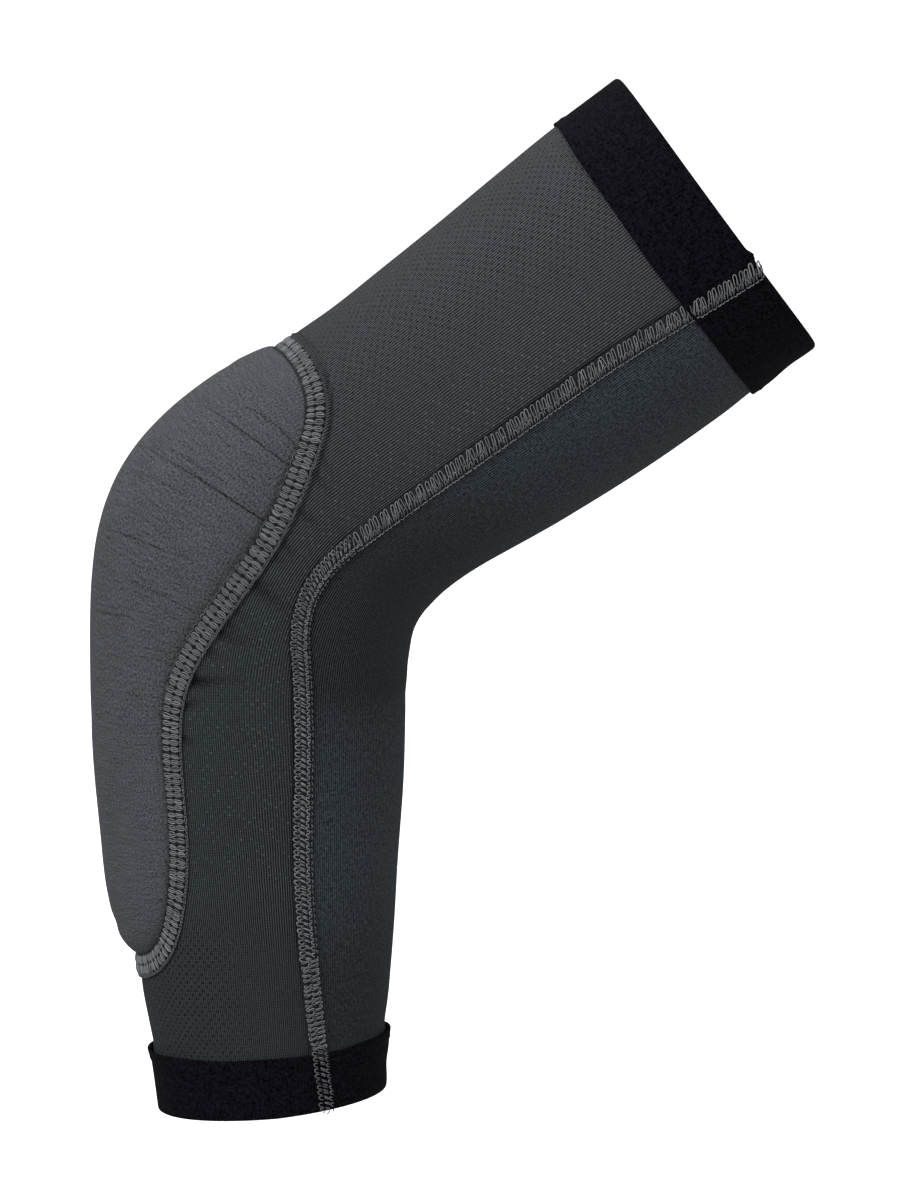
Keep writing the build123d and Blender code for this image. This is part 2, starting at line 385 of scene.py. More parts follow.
def bake_modifier(piece, kind, **settings):
    """Add a modifier, then keep its result as the piece's own mesh."""
    modifier = piece.modifiers.new(kind.title(), kind)
    for key, value in settings.items():
        setattr(modifier, key, value)
    bpy.context.view_layer.update()
    made = bpy.data.meshes.new_from_object(piece.evaluated_get(bpy.context.evaluated_depsgraph_get()))
    piece.modifiers.clear()
    piece.data = made


def thicken(piece, thickness):
    """Turn an open sheet into cloth of this thickness, growing inwards."""
    bake_modifier(piece, "SOLIDIFY", thickness=thickness, offset=-1.0, use_even_offset=True)


def ramp(x, low, high):
    """Smooth step from 0 at low to 1 at high."""
    x = np.clip((x - low) / (high - low), 0, 1)
    return x * x * (3 - 2 * x)


def ripple(a, b, size, seed):
    """Smooth uneven waves between about -1 and 1, with features of this size."""
    dice = np.random.default_rng(seed)
    count, total = 7, 0.0
    for _ in range(count):
        angle, phase = dice.uniform(0, 2 * math.pi, 2)
        wave = size * dice.uniform(0.7, 1.6)
        total = total + np.sin(2 * math.pi * (a * math.cos(angle) + b * math.sin(angle)) / wave + phase)
    return total / math.sqrt(count) / 1.5


class Seam:
    """A line on the sleeve, in even steps of its own length, and the piece its stitches make."""

    STEP = 0.0005

    def __init__(self, point, normal, flip=1.0, closed=False):
        self.piece = Piece()
        gaps = np.linalg.norm(np.diff(point, axis=0), axis=1)
        run = np.concatenate([[0.0], np.cumsum(gaps)])
        self.length = run[-1]
        even = np.arange(0, self.length + self.STEP, self.STEP)
        self.point = np.stack([np.interp(even, run, point[:, k]) for k in range(3)], -1)
        self.normal = np.stack([np.interp(even, run, normal[:, k]) for k in range(3)], -1)
        along = np.gradient(self.point, axis=0)
        along = along / np.linalg.norm(along, axis=1, keepdims=True)
        self.side = np.cross(along, self.normal) * flip
        self.flip, self.closed = flip, closed

    def on_line(self, run):
        """The same distance kept on the line, going round again if the line is closed."""
        return np.mod(run, self.length) if self.closed else np.clip(run, 0, self.length)

    def place(self, run, across=0.0, up=0.0):
        """Points at a distance along the line, across it and above the cloth."""
        run, across, up = np.broadcast_arrays(self.on_line(run), across, up)
        at = np.clip(run / self.STEP, 0, len(self.point) - 1.001)
        i = at.astype(int)
        f = (at - i)[..., None]
        point, normal, side = (
            part[i] * (1 - f) + part[i + 1] * f for part in (self.point, self.normal, self.side)
        )
        drop = across ** 2 / (2 * GIRTH_RADIUS)
        return point + side * across[..., None] + normal * (up - drop)[..., None]

    def up_at(self, run):
        """Cloth normal at a distance along the line."""
        at = np.clip(self.on_line(run) / self.STEP, 0, len(self.point) - 1).astype(int)
        return self.normal[at]

    def sew(self, slot, run, across, up, radius, tints, sides=6):
        """Add threads on the line, one for each row of distances."""
        lines = self.place(run, across, up)
        add_threads(self.piece, lines, self.up_at(run), radius, slot, sides, tints)

    def places(self, pitch, jitter=0.00010, ends=(0.0, None)):
        """Even places for stitches, a little uneven as real ones are."""
        stop = self.length if ends[1] is None else ends[1]
        count = int(round((stop - ends[0]) / pitch))
        even = ends[0] + (np.arange(count) + 0.5) * (stop - ends[0]) / count
        return even + rng.normal(0, jitter, count)


def add_threads(piece, lines, ups, radius, slot, sides, tints=0.0):
    """Add round threads along several lines, each with the same number of points."""
    lines, ups = np.asarray(lines), np.asarray(ups)
    count, size = lines.shape[:2]
    along = np.gradient(lines, axis=1)
    along /= np.linalg.norm(along, axis=-1, keepdims=True) + 1e-12
    side = np.cross(along, ups)
    side /= np.linalg.norm(side, axis=-1, keepdims=True) + 1e-12
    top = np.cross(side, along)
    turn = np.arange(sides) * 2 * math.pi / sides
    spread = side[:, :, None] * np.cos(turn)[:, None] + top[:, :, None] * np.sin(turn)[:, None]
    thickness = np.full(size, radius)
    thickness[[0, -1]] *= 0.45
    rings = lines[:, :, None] + spread * thickness[None, :, None, None]
    run = np.cumsum(np.linalg.norm(np.diff(lines, axis=1, prepend=lines[:, :1]), axis=-1), axis=1)
    weave = np.zeros((count, size, sides, 3))
    weave[..., 0] = turn / (2 * math.pi)
    weave[..., 1] = run[:, :, None]
    weave[..., 2] = np.reshape(tints, (-1, 1, 1))
    quads = grid_faces(size, sides, wrap_cols=True)[:, ::-1]
    each = np.arange(count)[:, None, None] * size * sides
    faces = (quads[None] + each).reshape(-1, 4).tolist()
    for k in range(count):
        first = k * size * sides
        faces.append(list(range(first, first + sides)))
        last = first + (size - 1) * sides
        faces.append(list(range(last + sides - 1, last - 1, -1)))
    piece.add(rings, faces, weave.reshape(-1, 3), slot)


def add_band(seam, profile, ends=(0.0, None), shade=None):
    """Add a band along a seam, from a closed profile of (across, up) points."""
    stop = seam.length if ends[1] is None else ends[1]
    steps = int((stop - ends[0]) / 0.0014)
    run = np.linspace(ends[0], stop, steps + 1)
    if seam.closed:
        run = run[:-1]
    if seam.flip < 0:
        profile = profile[::-1]
    across, up = np.array(profile).T
    points = seam.place(run[:, None], across[None], up[None])
    rows, cols = len(run), len(profile)
    faces = grid_faces(rows, cols, wrap_rows=seam.closed, wrap_cols=True).tolist()
    if not seam.closed:
        faces.append(list(range(cols))[::-1])
        faces.append(list(range((rows - 1) * cols, rows * cols)))
    mark = shade(across) if shade else 0 * across
    seam.piece.add(points, faces, weave_at(run[:, None], across[None], mark[None]))


# ---- Materials ----
class Graph:
    """A material's node tree, written in a few words."""

    def __init__(self, name, roughness=0.85, specular=0.3):
        self.material = bpy.data.materials.new(name)
        self.material.use_nodes = True
        self.tree = self.material.node_tree
        self.shader = self.tree.nodes["Principled BSDF"]
        self.shader.inputs["Roughness"].default_value = roughness
        self.shader.inputs["Specular IOR Level"].default_value = specular
        cloth = self.node("ShaderNodeAttribute", attribute_name="weave")
        self.vector = cloth.outputs["Vector"]
        parts = self.node("ShaderNodeSeparateXYZ", {"Vector": self.vector})
        self.u, self.v, self.mark = parts.outputs

    def node(self, kind, inputs=None, **settings):
        """Add a node; its inputs are values or the outputs of other nodes."""
        made = self.tree.nodes.new(kind)
        for key, value in settings.items():
            setattr(made, key, value)
        for key, value in (inputs or {}).items():
            self.put(made.inputs[key], value)
        return made

    def put(self, socket, value):
        if isinstance(value, bpy.types.NodeSocket):
            self.tree.links.new(value, socket)
        else:
            socket.default_value = value

    def math(self, operation, *values):
        made = self.node("ShaderNodeMath", dict(enumerate(values)), operation=operation)
        return made.outputs[0]

    def total(self, *values):
        """Sum of several values."""
        result = values[0]
        for value in values[1:]:
            result = self.math("ADD", result, value)
        return result

    def times(self, *values):
        """Product of several values."""
        result = values[0]
        for value in values[1:]:
            result = self.math("MULTIPLY", result, value)
        return result

    def wave(self, value, pitch, shift=0.0):
        """Cosine of a coordinate, with this pitch and a shift in turns."""
        turns_in = self.math("ADD", self.math("DIVIDE", value, pitch), shift)
        return self.math("COSINE", self.math("MULTIPLY", turns_in, 2 * math.pi))

    def noise(self, size, detail=2.0, stretch=(1.0, 1.0, 1.0)):
        """Noise between -1 and 1 in cloth coordinates, with features of this size."""
        place = self.node("ShaderNodeMapping", {"Vector": self.vector, "Scale": stretch})
        made = self.node(
            "ShaderNodeTexNoise",
            {"Vector": place.outputs[0], "Scale": 1 / size, "Detail": detail, "Roughness": 0.55},
        )
        return self.math("MULTIPLY_ADD", made.outputs["Fac"], 2.0, -1.0)

    def step(self, value, low, high):
        """Smooth step of a value from 0 to 1."""
        made = self.node(
            "ShaderNodeMapRange",
            {"Value": value, "From Min": low, "From Max": high},
            interpolation_type="SMOOTHSTEP",
        )
        return made.outputs["Result"]

    def along_arm(self, *pairs):
        """Value that changes along the arm, from pairs of a distance and the value there."""
        result = pairs[0][1]
        for (start, low), (end, high) in zip(pairs, pairs[1:]):
            result = self.math("MULTIPLY_ADD", self.step(self.v, start, end), high - low, result)
        return result

    def crease(self, start, end, depth, bow):
        """Thin bowed line in cloth coordinates: its depth on the line and 0 away from it."""
        width = 0.00018
        ds, dt = end[0] - start[0], end[1] - start[1]
        size = math.hypot(ds, dt)
        s = self.math("SUBTRACT", self.v, start[0])
        t = self.math("SUBTRACT", self.u, start[1])
        along = self.total(self.times(s, ds / size ** 2), self.times(t, dt / size ** 2))
        off = self.total(self.times(s, dt / size), self.times(t, -ds / size))
        arc = self.times(along, self.math("SUBTRACT", 1.0, along), 4 * bow)
        gap = self.math("ABSOLUTE", self.math("SUBTRACT", off, arc))
        ends = self.times(self.step(along, -0.1, 0.7), self.step(along, 1.0, 0.93))
        return self.times(self.step(gap, width * 2, width * 0.3), ends, depth)

    def colour(self, base, brightness, far=None):
        """Paint with a colour times a brightness; it may turn to another on the upper arm."""
        if far is not None:
            share = self.step(self.v, 0.14, 0.26)
            mix = self.node(
                "ShaderNodeMix", {0: share, 6: (*base, 1.0), 7: (*far, 1.0)}, data_type="RGBA"
            )
            base = mix.outputs[2]
        made = self.node("ShaderNodeVectorMath", {0: base, "Scale": brightness}, operation="SCALE")
        self.put(self.shader.inputs["Base Color"], made.outputs[0])

    def bump(self, height):
        """Bump from a height in metres."""
        made = self.node("ShaderNodeBump", {"Height": height, "Distance": 1.0, "Strength": 1.0})
        self.put(self.shader.inputs["Normal"], made.outputs[0])


def knit(
    name, colour, rib, course, relief, shade, far=None, specular=0.2,
    grain=0.2, fine=0.00075, streak=1.0, streak_way=(2.6, 0.45), mottle=0.0,
    brightness_along=((0, 1.0),), ridges=((0, 1.0),), specks=((0, 0.0),),
    holes=((0, 0.0),), holes_to=(0.3, 0.2), creases=(),
):
    """Knitted cloth: ribs along the arm, stitches in them, yarn grain and staggered holes.

    Brightness, ridges, specks and holes say how much there is of each along the arm. The holes end
    between the two distances round the arm in holes_to.
    """
    g = Graph(name, roughness=0.9, specular=specular)
    across = g.math("ADD", g.u, g.times(g.noise(0.009, 1.0), rib * 0.35))
    ribs = g.wave(across, rib)
    lean = g.times(g.math("ABSOLUTE", g.math("SINE", g.times(across, math.pi / rib))), 0.45)
    stitches = g.wave(g.v, course, lean)
    fuzz = g.noise(fine, 3.0)
    streaks = g.noise(0.0011, 2.0, (*streak_way, 1.0))
    patches = g.noise(0.010, 2.0)
    clouds = g.noise(0.050, 2.0)
    strength = g.math("MULTIPLY_ADD", g.noise(0.022, 1.0), 0.30, 0.85)
    lattice = g.times(g.wave(across, rib * 4.2), g.wave(g.v, rib * 3.4))
    spots = g.math("MULTIPLY_ADD", g.noise(0.0030), 0.50, lattice)
    open_here = g.times(g.along_arm(*holes), g.step(g.math("ABSOLUTE", g.u), *holes_to))
    holed = g.times(g.step(spots, 0.52, 0.84), open_here)
    closed_here = g.math("MAXIMUM", g.math("SUBTRACT", 1.0, open_here), 0.0)
    scattered = g.step(g.noise(0.004), -0.4, 0.4)
    dots = g.times(g.step(spots, 0.72, 0.98), scattered, g.along_arm(*specks), closed_here)
    lines = g.total(0.0, *[g.crease(*each) for each in creases])
    bright = g.total(
        1.0,
        g.times(ribs, strength, g.along_arm(*ridges), shade),
        g.times(stitches, shade * 0.22),
        g.times(fuzz, grain),
        g.times(streaks, grain * streak),
        g.times(patches, 0.04),
        g.times(clouds, 0.05),
        g.times(g.noise(0.0030, 1.0), mottle),
        # The holes are real, and their darkness is painted shade, the shade inside them.
        g.times(holed, -0.8),
        # Painted shade: the creases are drawn as thin dark lines, the shade in their folds.
        g.times(lines, -0.66),
        dots,
        # The mark adds painted shade laid on the panels and the pad seam's band.
        g.mark,
    )
    g.colour(colour, g.times(g.math("MAXIMUM", bright, 0.05), g.along_arm(*brightness_along)), far)
    g.bump(g.total(
        g.times(ribs, relief),
        g.times(stitches, relief * 0.45),
        g.times(fuzz, relief * 0.6),
        g.times(holed, relief * -2.0),
        g.times(lines, -0.0002),
    ))
    return g.material


def thread_material(name, colour):
    """Twisted thread: slanting plies, with its own tint for each stitch."""
    g = Graph(name, roughness=0.7, specular=0.35)
    ply = g.wave(g.math("ADD", g.u, g.math("DIVIDE", g.v, 0.0011)), 0.5)
    fuzz = g.noise(0.0004, 2.0, (0.0006, 1.0, 1.0))
    bright = g.total(1.0, g.times(ply, 0.14), g.times(fuzz, 0.16), g.mark)
    g.colour(colour, g.math("MAXIMUM", bright, 0.1))
    g.bump(g.times(ply, 0.00004))
    return g.material


def foam_material():
    """Closed-cell foam, a fine cell pattern on a matte black block."""
    g = Graph("foam", roughness=0.95)
    cells = g.node("ShaderNodeTexVoronoi", {"Vector": g.vector, "Scale": 1500.0})
    depth = cells.outputs["Distance"]
    g.colour((0.04, 0.04, 0.042), g.total(0.7, g.times(depth, 0.5), g.times(g.noise(0.01), 0.1)))
    g.bump(g.times(depth, 0.0003))
    return g.material


SEAM_WEAVE = {"rib": 0.0008, "course": 0.0007, "relief": 0.00008, "shade": 0.2}
# Its far colour is painted light: the back panel turns lighter on the upper arm, as lit from above.
back_knit = knit(
    "back_knit", (0.0345, 0.0408, 0.0455), far=(0.0540, 0.0560, 0.0635),
    rib=0.00072, course=0.00080, relief=0.00010, shade=0.95, grain=0.40,
    ridges=((0.045, 0.8), (0.065, 1.7), (0.105, 0.9), (0.135, 0.9), (0.165, 1.5), (0.230, 1.15)),
    specks=((0.055, 0.0), (0.080, 1.9), (0.125, 1.9), (0.150, 1.6), (0.26, 1.8), (0.30, 0.6)),
    holes=((0.045, 1.3), (0.070, 0.1), (0.180, 0.1), (0.198, 0.8), (0.285, 0.9)),
    holes_to=(0.069, 0.037),
)
# Painted light and shade along the front: darker in the elbow's crook, lighter on the forearm and on
# the upper arm.
front_knit = knit(
    "front_knit", (0.0270, 0.0325, 0.0375),
    rib=0.00066, course=0.00070, relief=0.00006, shade=0.70, grain=1.50, streak=0.6,
    brightness_along=((0.030, 1.0), (0.070, 1.45), (0.100, 1.35), (0.130, 0.86), (0.180, 0.86), (0.250, 1.50)),
    ridges=((0.110, 1.0), (0.150, 2.0), (0.190, 2.0), (0.240, 1.0)),
    specks=((0, 0.15),), holes=((0, 0.3),),
)
pad_knit = knit(
    "pad_knit", (0.0700, 0.0718, 0.0810),
    rib=0.00110, course=0.00110, relief=0.00005, shade=0.03,
    grain=1.90, fine=0.00048, streak=0.25, streak_way=(0.12, 2.2),
    brightness_along=((0.060, 1.14), (0.110, 1.09), (0.175, 1.0)), creases=CREASES,
)
lining_knit = knit(
    "lining_knit", (0.020, 0.022, 0.024), rib=0.0012, course=0.0010, relief=0.00008, shade=0.3
)
cuff_knit = knit(
    "cuff_knit", (0.0056, 0.0049, 0.0081), specular=0.04,
    rib=0.00090, course=0.00070, relief=0.00005, shade=0.12,
    grain=2.40, fine=0.0009, streak=0.5, mottle=0.7,
)
elastic_weave = knit(
    "elastic_weave", (0.016, 0.016, 0.017), rib=0.0012, course=0.0009, relief=0.0001, shade=0.3
)
pad_seam_cloth = knit("pad_seam_cloth", (0.070, 0.072, 0.078), **SEAM_WEAVE)
seam_cloth = knit("seam_cloth", (0.020, 0.021, 0.024), **SEAM_WEAVE)
grey_thread = thread_material("grey_thread", (0.152, 0.157, 0.169))
side_thread = thread_material("side_thread", (0.240, 0.249, 0.267))
light_thread = thread_material("light_thread", (0.197, 0.205, 0.222))
black_thread = thread_material("black_thread", (0.012, 0.012, 0.014))
foam_cells = foam_material()


# ---- Sleeve panels ----
SLEEVE_START = FOREARM_CUFF - 0.004
SLEEVE_END = LENGTH - UPPER_CUFF + 0.004
UNDER_SEAM = -WALL - 0.0003
SEAM_LAP = SIDE_SEAM_WIDTH / 2 - 0.0004
PAD_LAP = PAD_SEAM_WIDTH / 2 - 0.0003


def draw_in(distance):
    """How far cloth is pulled down beside a seam at this distance from it."""
    return -0.0004 * np.exp(-np.abs(distance) / 0.0030)


def across_elbow(piece):
    """Apply the piece's placement to its own mesh."""
    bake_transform(piece)


def pleats(s, t, gap):
    """Folds that run out from the hollow stretch of the pad seam: three large, several small."""
    depth = np.zeros(np.shape(s))
    for sign in (1, -1):
        dice = np.random.default_rng(20 + sign)
        large = [
            (p, dice.uniform(0.0007, 0.0010), dice.uniform(0.007, 0.010), 0.9)
            for p in (0.124, 0.139, 0.153)
        ]
        small = [
            (p, dice.uniform(0.0005, 0.0009), dice.uniform(0.0035, 0.0070), dice.uniform(0.4, 0.8))
            for p in np.linspace(0.112, 0.192, 12)
        ]
        for place, width, reach, height in large + small:
            middle = place + dice.uniform(-0.0022, 0.0022)
            slant = dice.uniform(-0.35, 0.35)
            fold = height * bell(s - middle - slant * gap, width) * bell(gap, reach)
            depth += np.where(t * sign > 0, fold, 0)
    return np.clip(depth, 0, 1.3)


def panel(name, material, s, t, lift, faces, mark=0.0):
    """Cloth panel of the sleeve from its flat points, its lift there and its mark for shading."""
    piece = Piece()
    points, _ = on_sleeve(s, theta_of(t), lift)
    piece.add(points, faces, weave_at(s, t, mark))
    made = piece.make(name, material)
    thicken(made, WALL)
    return made


def make_front_panel():
    rows = np.linspace(SLEEVE_START, SLEEVE_END, 190)[:, None]
    share = np.linspace(0, 1, 74)[None]
    edge = side_line(rows) + SEAM_LAP
    girth = 2 * math.pi * GIRTH_RADIUS
    t = edge + (girth - 2 * edge) * share
    s = rows + 0 * share
    seam_gap = np.minimum(t - edge, girth - edge - t)
    faces = grid_faces(*s.shape)
    lift = 0.00018 * ripple(s, t, 0.05, 3) + draw_in(seam_gap)
    made = panel("front_panel", front_knit, s, t, lift, faces)
    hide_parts(*[f"{z}_front_panel" for z in ZONES])
    across_elbow(made)


def outer_border():
    """Flat points round the back panel's outside edge, in the order of their angle."""
    along_step, round_step = 0.0015, 0.0025
    along = np.linspace(SLEEVE_START, SLEEVE_END, int((SLEEVE_END - SLEEVE_START) / along_step))
    edge = side_line(along) - SEAM_LAP
    top = np.linspace(-edge[-1], edge[-1], int(2 * edge[-1] / round_step))[1:-1]
    bottom = np.linspace(edge[0], -edge[0], int(2 * edge[0] / round_step))[1:-1]
    s = np.concatenate([SLEEVE_END + 0 * top, along[::-1], SLEEVE_START + 0 * bottom, along])
    t = np.concatenate([top, edge[::-1], bottom, -edge])
    return s, t


def make_back_panel():
    s_out, t_out = outer_border()
    angle = np.arctan2(t_out, s_out - PAD_MIDDLE)
    s_in, t_in = pad_outline(angle, PAD_LAP)
    share = np.linspace(0, 1, 46)[:, None] ** 1.6
    s = s_in + (s_out - s_in) * share
    t = t_in + (t_out - t_in) * share
    gap = np.hypot(s - s_in, t - t_in)
    fold = pleats(s, t, gap)
    seam_gap = side_line(s) - SEAM_LAP - np.abs(t)
    # Above the elbow the cloth rises beside the pad seam, with a narrow groove behind the rise.
    upper = ramp(s_in, 0.120, 0.165)
    ridge = bell(gap - 0.0008, 0.0006) * upper
    groove = bell(gap - 0.0018, 0.00030) * upper
    lift = 0.00022 * ripple(s, t, 0.06, 5) + draw_in(gap) + draw_in(seam_gap)
    lift = lift + 0.0006 * ridge - 0.0002 * groove - 0.0012 * fold
    faces = grid_faces(*s.shape, wrap_cols=True)
    # The mark paints shade: darker in the pleats' folds and in the groove behind the rise.
    made = panel("back_panel", back_knit, s, t, lift, faces, -0.60 * fold - 0.45 * groove)
    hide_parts(*[f"{z}_back_panel" for z in ZONES])
    across_elbow(made)


# ---- Pad ----
COVER = 0.0009
PAD_EDGE_ROUND = 0.0075


def pad_patch(length_cells, width_cells, inset):
    """Grid of flat points that fills the pad's outline, this far inside it, and its quads."""
    a = np.linspace(-1, 1, length_cells + 1)[:, None]
    b = np.linspace(-1, 1, width_cells + 1)[None]
    x = a * np.sqrt(1 - b * b / 2)
    y = b * np.sqrt(1 - a * a / 2)
    s_edge, t_edge = pad_outline(np.arctan2(y, x), -inset)
    share = np.hypot(x, y)
    s = PAD_MIDDLE + (s_edge - PAD_MIDDLE) * share
    return s, t_edge * share, grid_faces(*s.shape)


def border_of(rows, cols):
    """Numbers of the points round the edge of a grid, in order."""
    at = np.arange(rows * cols).reshape(rows, cols)
    return np.concatenate([at[0, :-1], at[:-1, -1], at[-1, :0:-1], at[:0:-1, 0]])


def pad_height(s, t, inset):
    """How far the outside of the pad stands over the sleeve."""
    turn = np.asarray(t) / GIRTH_RADIUS
    thick = (padded_half(s) - outer_half(s)) * np.cos(turn) ** 2
    thick = np.maximum(thick, 0) + PAD_EDGE_PUFF * np.sin(turn) ** 2
    rounding = PAD_EDGE_ROUND * (1 + 1.5 * ramp(s, 0.178, 0.196))
    near = np.clip((edge_distance(s, t) - inset) / rounding, 0, 1)
    return thick * np.sqrt(1 - (1 - near) ** 2)


def dents(s, t):
    """Depth in metres of the shallow dents that the creases make in the cover."""
    depth = np.zeros(np.shape(s))
    for (s0, t0), (s1, t1), deep, bow in CREASES:
        ds, dt = s1 - s0, t1 - t0
        size = math.hypot(ds, dt)
        along = ((s - s0) * ds + (t - t0) * dt) / size ** 2
        off = ((s - s0) * dt - (t - t0) * ds) / size - 4 * bow * along * (1 - along)
        ends = ramp(along, 0.0, 0.25) * ramp(-along, -1.0, -0.75)
        depth += 0.00016 * deep * ends * bell(off, 0.0007)
    return depth


def puff_by_cloth(piece, boundary):
    """Let air pressure fill a cover that is held at its edge, as foam does."""
    cap, last_step = 0.0006, 20
    before = np.array([v.co[:] for v in piece.data.vertices])
    held = piece.vertex_groups.new(name="held")
    held.add(boundary, 1.0, "REPLACE")
    cloth = piece.modifiers.new("Cloth", "CLOTH")
    cloth.settings.vertex_group_mass = "held"
    cloth.settings.use_pressure = True
    cloth.settings.uniform_pressure_force = 3.0
    cloth.settings.shrink_min = -0.012
    cloth.settings.effector_weights.gravity = 0.0
    cloth.settings.quality = 6
    cloth.point_cache.frame_start = 1
    cloth.point_cache.frame_end = last_step
    scene = bpy.context.scene
    for step in range(1, last_step + 1):
        scene.frame_set(step)
    shown = piece.evaluated_get(bpy.context.evaluated_depsgraph_get()).to_mesh()
    after = np.array([v.co[:] for v in shown.vertices])
    piece.evaluated_get(bpy.context.evaluated_depsgraph_get()).to_mesh_clear()
    piece.modifiers.clear()
    scene.frame_set(1)
    outward = np.array([v.normal[:] for v in piece.data.vertices])
    rise = ((after - before) * outward).sum(1, keepdims=True)
    moved = outward * cap * np.tanh(np.maximum(rise, 0) / cap)
    piece.data.vertices.foreach_set("co", (before + moved).ravel())
    piece.data.update()


def make_pad_cover():
    s, t, faces = pad_patch(106, 64, PAD_LAP)
    points, normal = on_sleeve(s, theta_of(t), pad_height(s, t, PAD_LAP))
    piece = Piece()
    piece.add(points, faces, weave_at(s, t))
    made = piece.make("pad_cover", pad_knit)
    puff_by_cloth(made, border_of(*s.shape).tolist())
    co = np.array([v.co[:] for v in made.data.vertices])
    co -= normal.reshape(-1, 3) * dents(s, t).reshape(-1, 1)
    made.data.vertices.foreach_set("co", co.ravel())
    bake_modifier(made, "SUBSURF", levels=1, render_levels=1)
    thicken(made, COVER)
    made.data.polygons.foreach_set("use_smooth", [True] * len(made.data.polygons))
    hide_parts("elbow_pad_cover", "forearm_pad_cover")
    across_elbow(made)


def make_pad_foam():
    """Closed block between the cover and the backing."""
    s, t, faces = pad_patch(60, 44, PAD_LAP + 0.0006)
    height = np.maximum(pad_height(s, t, PAD_LAP) - COVER - 0.0001, 0.0003)
    height[edge_distance(s, t) < PAD_LAP + 0.0008] = 0.00025
    top, _ = on_sleeve(s, theta_of(t), height)
    under, _ = on_sleeve(s, theta_of(t), 0.00008)
    border = border_of(*s.shape)
    ahead = np.roll(border, -1)
    wall = np.stack([ahead, border, border + s.size, ahead + s.size], -1)
    piece = Piece()
    points = np.concatenate([top.reshape(-1, 3), under.reshape(-1, 3)])
    weave = np.concatenate([weave_at(s, t).reshape(-1, 3)] * 2)
    piece.add(points, [*faces, *(faces[:, ::-1] + s.size), *wall], weave)
    made = piece.make("pad_foam", foam_cells)
    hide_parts("elbow_pad_foam", "forearm_pad_foam")
    across_elbow(made)


def make_pad_backing():
    s, t, faces = pad_patch(64, 44, 0.0004)
    made = panel("pad_backing", lining_knit, s, t, 0.0, faces)
    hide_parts("elbow_pad_backing", "forearm_pad_backing")
    across_elbow(made)


# ---- Pad seam ----
def uneven(starts, spread, middle=0.0):
    """A random value for each stitch."""
    return rng.normal(middle, spread, (len(starts), 1))


def arch(count):
    """Share of its height at each point of a stitch that rises in the middle."""
    return np.sin(np.linspace(0.12, 0.88, count) * math.pi)


def rungs(seam, starts, slot, edges, slant, height, radius, base=0.0, points=6, sides=6):
    """Stitches that cross the seam from one edge to the other."""
    share = np.linspace(0, 1, points)[None]
    low = edges[0] + uneven(starts, 0.00010)
    high = edges[1] + uneven(starts, 0.00010)
    across = low + (high - low) * share
    lean = slant + uneven(starts, 0.00010)
    run = starts[:, None] + lean * (share - 0.5)
    up = base + height * arch(points)[None] + uneven(starts, 0.00003)
    seam.sew(slot, run, across, up, radius, uneven(starts, 0.10), sides)


def bundles(seam, starts, slot, edges, height, radius, base):
    """Flat stitches of three threads, apart in the middle and together at the needle holes."""
    points, spread = 6, 0.00060
    share = np.linspace(0, 1, points)[None]
    slant = uneven(starts, 0.00018, 0.00015)
    swell = uneven(starts, 0.10, 1.0)
    for strand in (-1, 0, 1):
        low = edges[0] + uneven(starts, 0.00014)
        high = edges[1] + uneven(starts, 0.00014)
        apart = 0.36 + 0.64 * np.sin(share * math.pi) ** 0.7
        bow = uneven(starts, 0.00007) * np.sin(share * math.pi)
        run = starts[:, None] + slant * (share - 0.5) + strand * spread * swell * apart + bow
        top = height * (1.0 - 0.25 * abs(strand)) + uneven(starts, 0.00004)
        up = base + arch(points)[None] * top
        seam.sew(slot, run, low + (high - low) * share, up, radius, 0.10 + uneven(starts, 0.22))


def edge_loops(seam, starts, slot, pitch, edge, out, height, radius, base=0.0, points=9):
    """Small loops of thread along one edge of a seam."""
    turn = np.linspace(-0.5, 0.5, points)[None]
    run = starts[:, None] + turn * pitch * 1.05
    across = edge + out * np.cos(turn * math.pi) * (1 + uneven(starts, 0.15))
    up = base + height * (0.45 + 0.55 * np.cos(turn * 2 * math.pi))
    seam.sew(slot, run, across, up, radius, uneven(starts, 0.12), 5)


def ridge_profile(width, height, bottom):
    """Rounded section of a flat seam, from one edge over the top to the other."""
    turn = np.linspace(math.pi, 0, 17)
    across = width / 2 * np.sign(np.cos(turn)) * np.abs(np.cos(turn)) ** 0.7
    up = bottom + (height - bottom) * np.maximum(np.sin(turn), 0.0) ** 0.5
    foot = width / 2 * 0.94
    return [*zip(across, up), (foot, bottom - 0.0001), (-foot, bottom - 0.0001)]


def pad_seam_shade(across):
    """Painted shade on the pad seam's cloth: darker all over, as under its threads, and darkest where
    the needles pull it down, at its edges and its middle.
    """
    pulled = sum(bell(across - line, 0.00045) for line in (-0.0026, 0.0, 0.0026))
    return -0.45 - 0.45 * pulled


